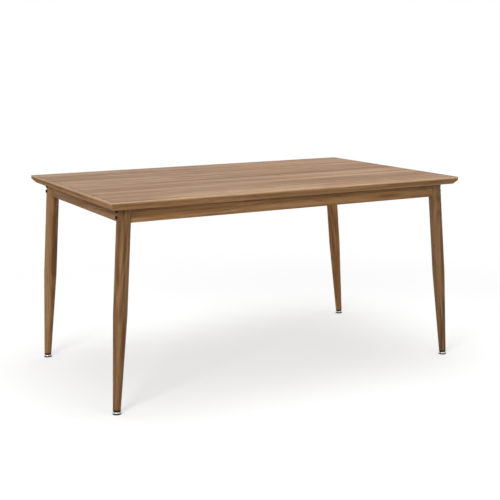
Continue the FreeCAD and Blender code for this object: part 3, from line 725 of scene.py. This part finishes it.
def plain(name, colour, metallic, gloss_middle, gloss_specks, speckle, bump_height, specular=0.5):
    """A material of one colour whose gloss and surface vary finely."""
    material, tree, shader = new_material(name, specular)
    where = own_place(tree)
    gloss = use_group(
        tree, gloss_group, where, Middle=gloss_middle, Clouds=gloss_specks, Specks=gloss_specks)
    join(tree, gloss.outputs["Roughness"], shader.inputs["Roughness"])
    fine = noise(tree, where, speckle, speckle, roughness=0.6)
    speckled = mix_colour(tree, remap(tree, fine, 0.35, 0.65), shaded(colour, SPECK_SHADE), colour)
    join(tree, speckled, shader.inputs["Base Color"])
    shader.inputs["Metallic"].default_value = metallic
    add_bump(tree, shader, fine, PLAIN_BUMP, bump_height)
    return material


chrome = plain("polished chrome", (0.86, 0.84, 0.80, 1), 1.0, 0.2, 0.03, 400, 0.00001)
plated = plain("zinc plated steel", (0.62, 0.62, 0.58, 1), 1.0, 0.38, 0.08, 900, 0.00005)
blackened = plain("blackened steel", (0.012, 0.009, 0.007, 1), 0.0, 0.55, 0.05, 900, 0.00004, 0.12)
moulded = plain("moulded black plastic", (0.013, 0.012, 0.012, 1), 0.0, 0.55, 0.06, 1500, 0.00006, 0.25)
print("four plain materials")

# %% A darker, duller lower edge of the cups
DARK_RIM_LEVELS = (0.0064, 0.0052)
DARK_RIM_COLOUR, DARK_RIM_DULLNESS = (0.035, 0.032, 0.029, 1), 0.3

rim = chrome.node_tree
rim_shader = rim.nodes["Principled BSDF"]
# The lower edge of each cup, up to a few millimetres above the floor, is painted dark and made duller.
dark_rim = remap(rim, split(rim, own_place(rim))[2], *DARK_RIM_LEVELS)
tint(rim, rim_shader, dark_rim, DARK_RIM_COLOUR)
add_dullness(rim, rim_shader, times(rim, dark_rim, DARK_RIM_DULLNESS))
print("grime below", DARK_RIM_LEVELS[0], "m")

# %% Dress the metal and plastic pieces
CORNER_FINISHES = {
    "_leg_cap": moulded, "_foot_plug": moulded, "_foot_stud": plated, "_foot_cup": chrome,
    "_foot_sole": moulded}
PLATED_NODES = [
    "front_rail_tabs", "back_rail_tabs", "left_rail_tabs", "right_rail_tabs", "front_rail_nut_blocks",
    "back_rail_nut_blocks", "tabletop_screws", "foot_nuts"]

for corner in CORNERS:
    for ending, finish in CORNER_FINISHES.items():
        dress(corner + ending, finish)
for name in PLATED_NODES:
    dress(name, plated)
dress("frame_bolts", blackened)
undressed = [name for name, piece in pieces.items() if not piece.data.materials]
print("pieces without a finish:", undressed)

# %% [markdown]
# ## Turned pieces
#
# A pressed cup, a screw head and a rivet are all round, so each is a profile turned about an upright
# axis. The helper works in millimetres from the piece's own axis, because that is how such a piece is
# drawn, and puts every ring of the turned mesh in its real place in metres.

# %% A helper that turns a profile
MM = 0.001


def ring_points(radius, steps):
    """Points round a circle about the origin, from the X axis on."""
    angles = [2 * math.pi * step / steps for step in range(steps)]
    return [(radius * math.cos(angle), radius * math.sin(angle)) for angle in angles]


def turned_mesh(shape, profile, centre, steps=96):
    """Add a closed profile of (radius, height) points, turned about an upright axis, to a bmesh."""
    x0, y0 = centre
    rings = []
    for radius, height in profile:
        points = ring_points(radius * MM, steps) if radius else [(0, 0)]
        rings.append([shape.verts.new((x0 + x, y0 + y, height * MM)) for x, y in points])
    for first, second in zip(rings, rings[1:] + rings[:1]):
        for step in range(steps):
            corners = ((first, step), (first, step + 1), (second, step + 1), (second, step))
            around = dict.fromkeys(ring[index % len(ring)] for ring, index in corners)
            if len(around) > 2:
                shape.faces.new(list(around))
    return shape


# %% Helpers that turn a mesh into a piece
SMOOTH_ANGLE = math.radians(35)


def solid_object(name, shape):
    """An object from a bmesh, with its normals outwards."""
    bmesh.ops.recalc_face_normals(shape, faces=shape.faces)
    mesh = bpy.data.meshes.new(name)
    shape.to_mesh(mesh)
    shape.free()
    return add_object(name, mesh)


def make_piece(name, shape, material, body, replaced=()):
    """Turn a bmesh into an object with a finish that rides on a body and stands for some nodes."""
    piece = solid_object(name, shape)
    mesh = piece.data
    mesh.materials.append(material)
    mesh.shade_smooth()
    mesh.set_sharp_from_angle(angle=SMOOTH_ANGLE)
    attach(piece, body)
    if replaced:
        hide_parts(*replaced)
    print(name, len(mesh.polygons), "faces on", body)
    return piece


# %% [markdown]
# ## Blanks and tools
#
# Some forms are easiest to make as in a workshop: a blank, and a tool whose volume is taken off it. The
# round along the board's edge, the cross in a screw head and the hexagon in a bolt head are all cut
# with a boolean modifier. The exact solver is used, because the tools are small and their faces meet
# the blank at flat angles, where a faster solver leaves gaps.

# %% Helpers that make a tool and cut with it
def bridge(shape, first, second):
    """Join two rings of vertices with a band of faces."""
    for index in range(len(first)):
        following = (index + 1) % len(first)
        shape.faces.new((first[index], first[following], second[following], second[index]))


def cut_away(blank, tool):
    """Take a tool's volume off a blank with a boolean modifier, and remove the tool."""
    cut = blank.modifiers.new("cut", "BOOLEAN")
    cut.operation = "DIFFERENCE"
    cut.solver = "EXACT"
    cut.object = tool
    evaluated = blank.evaluated_get(bpy.context.evaluated_depsgraph_get())
    blank.data = bpy.data.meshes.new_from_object(evaluated)
    blank.modifiers.clear()
    bpy.data.objects.remove(tool)


# %% [markdown]
# ## The rounded arris
#
# The top edge of the real board is eased by a router: the light that falls on the top runs on over the
# round and ends some millimetres below it, where the upright band starts. The construction model has
# only a very small radius there. The cutter below is what the router bit takes away, a strip with a
# hollow quarter circle in its section, mitred at the four corners. A boolean modifier takes it off a
# copy of the board, so the holes for the screws stay as they are.

# %% Run the router round the board
ARRIS_RADIUS = 0.0045
ARC_STEPS = 12
BIT_MARGIN = 0.004
half_length, half_width, top_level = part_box("tabletop")[1]

bit_section = []
for step in range(ARC_STEPS + 1):
    angle = math.pi / 2 * step / ARC_STEPS
    outwards = ARRIS_RADIUS * (math.sin(angle) - 1)
    bit_section.append((outwards, top_level - ARRIS_RADIUS * (1 - math.cos(angle))))
bit_top = top_level + BIT_MARGIN
bit_section += [(BIT_MARGIN, top_level - ARRIS_RADIUS), (BIT_MARGIN, bit_top), (-ARRIS_RADIUS, bit_top)]
cutter = bmesh.new()
rings = [
    [cutter.verts.new((side_x * (half_length + out), side_y * (half_width + out), level))
     for out, level in bit_section]
    for side_x, side_y in SQUARE]
for first, second in zip(rings, rings[1:] + rings[:1]):
    bridge(cutter, first, second)
print("router bit with", len(bit_section), "points in its section")

# %% Take the round off a copy of the board
blank_shape = bmesh.new()
blank_shape.from_mesh(pieces["tabletop"].data)
blank = solid_object("board_blank", blank_shape)
cut_away(blank, solid_object("router_path", cutter))
rounded_shape = bmesh.new()
rounded_shape.from_mesh(blank.data)
bpy.data.objects.remove(blank)
rounded_board = make_piece(
    "rounded_board", rounded_shape, board_finish, "table_frame", ["tabletop"])
for face in rounded_board.data.polygons:
    face.use_smooth = 0.02 < abs(face.normal.z) < 0.998 and face.center.z > top_level - ARRIS_RADIUS
print("rounded faces:", sum(face.use_smooth for face in rounded_board.data.polygons))

# %% [markdown]
# ## The pressed cups and their soles
#
# Each foot shows a chrome cup on a black sole. The cup is pressed sheet with a flat crown, a round
# shoulder and an upright side whose edge is rolled in. The construction model has a plain cone there.
# The profile below keeps its height and width. A fuller shoulder mirrors the bright room, as in the
# photo, where a cone would mirror only the black plug. The sole is moulded, so its edges are small
# curves.

# %% The profiles of cup and sole
HOLE_RADIUS = 4.1
CROWN_TOP, CROWN_UNDER = 10.0, 8.8
SHOULDER_MIDDLE = (12.2, 6.7)
SHOULDER_OUTSIDE, SHOULDER_INSIDE = 3.3, 2.1
ROLLED_EDGE = [(15.5, 4.6), (15.42, 4.3), (15.2, 4.1), (14.9, 4.0), (14.5, 4.15)]
SOLE_PROFILE = [
    (0, 0.35), (9.0, 0.35), (9.6, 0), (14.3, 0), (14.75, 0.15), (15.0, 0.6), (15.0, 3.2), (14.85, 3.6),
    (14.5, 3.8), (14.1, 3.8), (14.1, 5.0), (13.9, 5.2), (0, 5.2)]


def shoulder(round_radius, steps=10):
    """The quarter circle from the crown down to the side."""
    radius, height = SHOULDER_MIDDLE
    angles = [math.pi / 2 * step / steps for step in range(steps + 1)]
    return [(radius + round_radius * math.sin(a), height + round_radius * math.cos(a)) for a in angles]


cup_profile = [(HOLE_RADIUS, CROWN_TOP)] + shoulder(SHOULDER_OUTSIDE) + ROLLED_EDGE
cup_profile += shoulder(SHOULDER_INSIDE)[::-1] + [(HOLE_RADIUS, CROWN_UNDER)]
print("cup profile with", len(cup_profile), "points")


# %% Turn the cups and soles
def foot_centre(corner):
    """The place of a foot's axis on the floor."""
    side_x, side_y = CORNERS[corner]
    return side_x * LEG_FOOT[0], side_y * LEG_FOOT[1]


for corner in CORNERS:
    foot = corner + "_foot"
    cup = turned_mesh(bmesh.new(), cup_profile, foot_centre(corner))
    make_piece(corner + "_pressed_cup", cup, chrome, foot, [foot + "_cup"])
    sole = turned_mesh(bmesh.new(), SOLE_PROFILE, foot_centre(corner))
    make_piece(corner + "_moulded_sole", sole, moulded, foot, [foot + "_sole"])

# %% [markdown]
# ## The threaded studs
#
# A levelling foot turns up and down on a metric thread, which shows between cup and plug, more so when
# the foot is screwed out. A thread is one ridge wound round and round, so the mesh is a strip of short
# columns set along a helix: each column goes from the groove up over the crest and down to the next
# groove, and the last groove of one turn is the first of the next. The heights are held between the
# rivet head and the stud's end, which closes the thread at both.

# %% Wind the threads
PITCH = 1.25
STUD_LOW, STUD_HIGH = 8.6, 40.0
CREST, GROOVE = 4.0, 3.35
THREAD_SECTION = [(GROOVE, 0.0), (CREST, 0.38), (CREST, 0.56), (GROOVE, 0.94), (GROOVE, 1.0)]
END_BLUNTING = 0.9
CORE = GROOVE + 0.02
RIVET_AND_CORE = [
    (0, 7.1), (6.2, 7.1), (6.5, 7.35), (6.5, 8.3), (6.2, STUD_LOW), (CORE, STUD_LOW), (CORE, 39.7),
    (GROOVE - 0.4, STUD_HIGH), (0, STUD_HIGH)]
MERGED = 0.00001


def wound_thread(shape, centre, steps=24):
    """Add a helical ridge about an upright axis to a bmesh, held between the stud's two ends."""
    x0, y0 = centre
    columns = []
    for step in range(int((STUD_HIGH - STUD_LOW) / PITCH + 2) * steps):
        angle = 2 * math.pi * step / steps
        rise = STUD_LOW - PITCH + PITCH * step / steps
        column = []
        for radius, part in THREAD_SECTION:
            height = min(max(rise + part * PITCH, STUD_LOW), STUD_HIGH)
            blunted = min(radius, GROOVE + (STUD_HIGH - height) * END_BLUNTING) * MM
            column.append(shape.verts.new(
                (x0 + blunted * math.cos(angle), y0 + blunted * math.sin(angle), height * MM)))
        columns.append(column)
    for first, second in zip(columns, columns[1:]):
        for level in range(len(THREAD_SECTION) - 1):
            shape.faces.new((first[level], second[level], second[level + 1], first[level + 1]))


for corner in CORNERS:
    shape = bmesh.new()
    wound_thread(shape, foot_centre(corner))
    bmesh.ops.remove_doubles(shape, verts=shape.verts, dist=MERGED)
    turned_mesh(shape, RIVET_AND_CORE, foot_centre(corner), steps=48)
    name = corner + "_threaded_stud"
    make_piece(name, shape, plated, corner + "_stud", [corner + "_foot_stud"])

# %% [markdown]
# ## The screws under the board
#
# Ten pan head screws hold the board down on its tabs. Seen from below, each head is a low dome with a
# cross recess. The head is turned like the cups, and the recess is cut once with a boolean modifier
# whose tool is a cross of two tapered blades. The finished screw is then copied to every tab.

# %% Cut one screw head
SCREW_PROFILE = [
    (0, -3.0), (1.6, -2.96), (3.0, -2.75), (4.0, -2.25), (4.6, -1.5), (4.75, -0.8), (4.75, -0.15),
    (4.6, 0), (2.3, 0), (2.3, 18.5), (0, 22.9)]
BLADE_ENDS = ((-3.4, 2.5, 0.5), (-1.1, 0.9, 0.35))


def recess_blade(shape, turned):
    """Add one tapered blade of the cross, wide at the head's surface and narrow above."""
    rings = []
    for height, blade_length, blade_width in BLADE_ENDS:
        ring = []
        for along, across in SQUARE:
            x, y = along * blade_length, across * blade_width
            if turned:
                x, y = -y, x
            ring.append(shape.verts.new((x * MM, y * MM, height * MM)))
        shape.faces.new(ring)
        rings.append(ring)
    bridge(shape, *rings)


screw = solid_object("screw_blank", turned_mesh(bmesh.new(), SCREW_PROFILE, (0, 0), steps=40))
for turned in (False, True):
    blade_shape = bmesh.new()
    recess_blade(blade_shape, turned)
    cut_away(screw, solid_object("recess_blade", blade_shape))
print("screw head with", len(screw.data.polygons), "faces")

# %% Drive a screw into every tab
SCREW_REACH = 0.012
SCREW_TURN = 0.7


def screw_places():
    """The middles of the construction model's screws, from the vertices that lie together."""
    points = [vertex.co.xy for vertex in pieces["tabletop_screws"].data.vertices]
    middles = []
    while points:
        start = points[0]
        near = [point for point in points if (point - start).length < SCREW_REACH]
        points = [point for point in points if (point - start).length >= SCREW_REACH]
        middles.append([(min(side) + max(side)) / 2 for side in zip(*near)])
    return middles


def add_copy(shape, blank, matrix):
    """Add a blank's mesh to a bmesh, moved and turned by a matrix."""
    copied = blank.data.copy()
    copied.transform(matrix)
    shape.from_mesh(copied)
    bpy.data.meshes.remove(copied)


tab_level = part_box("front_rail_tabs")[0][2]
all_screws = bmesh.new()
for number, (x, y) in enumerate(screw_places()):
    turned = Matrix.Rotation(SCREW_TURN * number, 4, "Z")
    add_copy(all_screws, screw, Matrix.Translation((x, y, tab_level)) @ turned)
bpy.data.objects.remove(screw)
make_piece("driven_screws", all_screws, plated, "table_frame", ["tabletop_screws"])

# %% [markdown]
# ## The frame bolts
#
# Two black button heads show on the outer side of each leg, the upper one half hidden by the bevel of
# the board. Each is a low dome with a hexagon socket for a key. The dome is turned like the cups and
# its socket is cut out of it. The bolt is made upright and then laid on its side, with its head
# outwards, at the two levels of the real bolts. A leg leans, so its lower bolt stands further out.

# %% Make one bolt
HEAD_RADIUS, HEAD_HEIGHT = 6.5, 3.5
DOME_TURNS = (0.3, 0.6, 0.9, 1.2, 1.45)
BOLT_PROFILE = [(0, HEAD_HEIGHT), (3.3, HEAD_HEIGHT)]
BOLT_PROFILE += [(3.3 + 3.15 * math.sin(a), 0.6 + 2.9 * math.cos(a)) for a in DOME_TURNS]
BOLT_PROFILE += [(HEAD_RADIUS, 0.4), (6.4, 0), (4.0, 0), (4.0, -64.2), (3.2, -65), (0, -65)]
SOCKET_FLATS, SOCKET_DEPTH = 5.0, 2.6
KEY_MARGIN = 2

bolt = solid_object("bolt_blank", turned_mesh(bmesh.new(), BOLT_PROFILE, (0, 0), steps=48))
key_shape = bmesh.new()
hexagon = ring_points(SOCKET_FLATS / math.sqrt(3) * MM, 6)
key_rings = [
    [key_shape.verts.new((x, y, height * MM)) for x, y in hexagon]
    for height in (HEAD_HEIGHT - SOCKET_DEPTH, HEAD_HEIGHT + KEY_MARGIN)]
for ring in key_rings:
    key_shape.faces.new(ring)
bridge(key_shape, *key_rings)
cut_away(bolt, solid_object("socket_key", key_shape))
print("bolt with", len(bolt.data.polygons), "faces")

# %% Lay two bolts through each leg
bolts_low, bolts_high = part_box("frame_bolts")
lower_level = bolts_low[2] + HEAD_RADIUS * MM
upper_level = bolts_high[2] - HEAD_RADIUS * MM
bolt_line = bolts_high[1] - HEAD_RADIUS * MM
all_bolts = bmesh.new()
for side_x, side_y in CORNERS.values():
    for level in (lower_level, upper_level):
        leaned_in = LEG_LEAN[0] / LEG_LEAN[2] * (level - lower_level)
        seat = bolts_high[0] - HEAD_HEIGHT * MM - leaned_in
        add_copy(all_bolts, bolt, Matrix((
            (0, 0, side_x, side_x * seat),
            (1, 0, 0, side_y * bolt_line),
            (0, 1, 0, level),
            (0, 0, 0, 1))))
bpy.data.objects.remove(bolt)
make_piece("button_head_bolts", all_bolts, blackened, "table_frame", ["frame_bolts"])

# %% [markdown]
# ## Weld beads
#
# The short rails are welded between the legs, and the tabs are welded to the rails. The outer side of
# each joint is ground flush before the film goes on, but inside and below the bead stays: a thin roll
# with a ripple for every step of the torch. Each bead is a tube swept along the line where the two
# pieces meet, and its radius swells and shrinks a little along the way.

# %% A helper that lays a bead
BEAD_RADIUS = 0.0016
RIPPLE_LENGTH, RIPPLE_DEPTH = 0.0021, 0.13
BEAD_SIDES = 8


def lay_bead(shape, points):
    """Add a rippled bead along a line of points to a bmesh, closed at both ends."""
    rings = []
    travelled = 0.0
    steady = Vector((0.31, 0.47, 0.83))
    for index, point in enumerate(points):
        before = points[max(index - 1, 0)]
        after = points[min(index + 1, len(points) - 1)]
        travelled += (point - before).length
        direction = (after - before).normalized()
        side = direction.cross(steady).normalized()
        other = direction.cross(side)
        from_end = min(index, len(points) - 1 - index)
        ripple = 1 + RIPPLE_DEPTH * math.sin(2 * math.pi * travelled / RIPPLE_LENGTH)
        radius = BEAD_RADIUS * ripple * min(1.0, 0.35 + 0.25 * from_end)
        rings.append([
            shape.verts.new(point + x * side + y * other) for x, y in ring_points(radius, BEAD_SIDES)])
    for first, second in zip(rings, rings[1:]):
        bridge(shape, first, second)
    shape.faces.new(rings[0])
    shape.faces.new(rings[-1])


# %% Weld the short rails to the legs
LEG_RADIUS = 0.0241
LEG_TOP = (0.634, 0.384)
RAIL_HALF_DEPTH = 0.0125
STEP = 0.0005
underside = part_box("tabletop")[0][2]
bead_top = underside - 0.002


def rail_joint(corner):
    """The line where a short rail meets its leg: down its inner side and out along its underside."""
    side_x, side_y = CORNERS[corner]
    low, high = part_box("left_rail" if side_x < 0 else "right_rail")
    rail_x = (low[0] + high[0]) / 2
    down = int((bead_top - low[2]) / STEP)
    across = int(2 * RAIL_HALF_DEPTH / STEP)
    section = [(-side_x * RAIL_HALF_DEPTH, bead_top - STEP * step) for step in range(down)]
    section += [(-side_x * (RAIL_HALF_DEPTH - STEP * step), low[2]) for step in range(1, across)]
    line = []
    for beside, z in section:
        fallen = (underside - z) / LEG_LEAN[2]
        leg_x = side_x * (LEG_TOP[0] + LEG_LEAN[0] * fallen)
        leg_y = side_y * (LEG_TOP[1] + LEG_LEAN[1] * fallen)
        off_axis = rail_x + beside - leg_x
        reach = math.sqrt(LEG_RADIUS ** 2 - off_axis ** 2)
        line.append(Vector((rail_x + beside, leg_y - side_y * reach, z)))
    return line


for corner in CORNERS:
    shape = bmesh.new()
    lay_bead(shape, rail_joint(corner))
    make_piece(corner + "_rail_weld", shape, leg_finishes[corner], "table_frame")

# %% Weld the tabs to the rails
LONG_TABS = (-0.45, 0.0, 0.45)
SHORT_TABS = (-0.2, 0.2)
TAB_HALF = 0.0185
RAIL_FACES = (
    ("front", 1, 1, LONG_TABS), ("back", 0, 1, LONG_TABS), ("left", 1, 0, SHORT_TABS),
    ("right", 0, 0, SHORT_TABS))

tab_beads = bmesh.new()
for rail, inner_end, across, tabs in RAIL_FACES:
    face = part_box(rail + "_rail")[inner_end][across]
    for tab in tabs:
        line = []
        for step in range(int(2 * TAB_HALF / STEP)):
            along = tab - TAB_HALF + STEP * step
            line.append(Vector((along, face, tab_level) if across else (face, along, tab_level)))
        lay_bead(tab_beads, line)
make_piece("tab_welds", tab_beads, plated, "table_frame")
